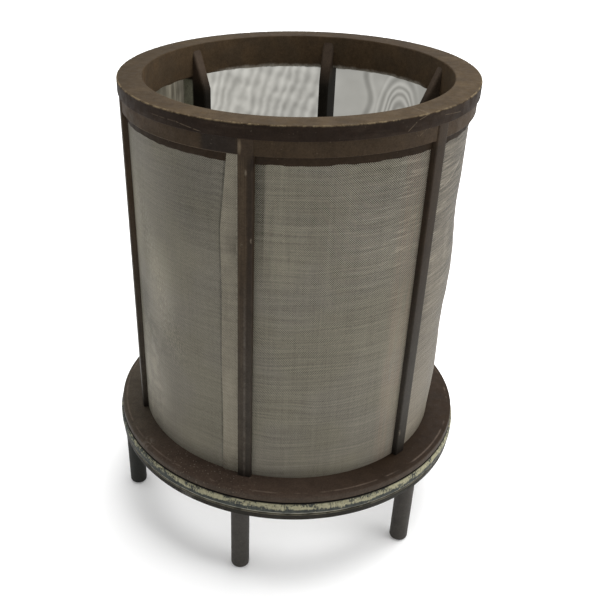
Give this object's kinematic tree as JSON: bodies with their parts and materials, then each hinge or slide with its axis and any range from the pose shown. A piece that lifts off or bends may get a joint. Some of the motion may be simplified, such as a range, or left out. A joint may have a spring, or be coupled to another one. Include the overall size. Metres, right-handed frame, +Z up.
{
  "type": "transmission filter",
  "caption": "Open cylindrical suction strainer: wire cloth in a ribbed moulded cage, with a sealed flange and short legs below.",
  "frame": {"origin": "on the strainer's axis, in the plane that the legs stand on", "axes": "+Z up along the strainer's axis from the legs to the collar; -Y through the rib that covers the joint of the wire cloth"},
  "size_m": [0.1026, 0.1026, 0.1262],
  "materials": {
    "cage": "satin moulded",
    "screen": "woven wire",
    "seal_ring": "worn, with deposit"
  },
  "bodies": {
    "root": {"cage": "cage", "screen": "screen", "seal_ring": "seal_ring"}
  },
  "joints": []
}
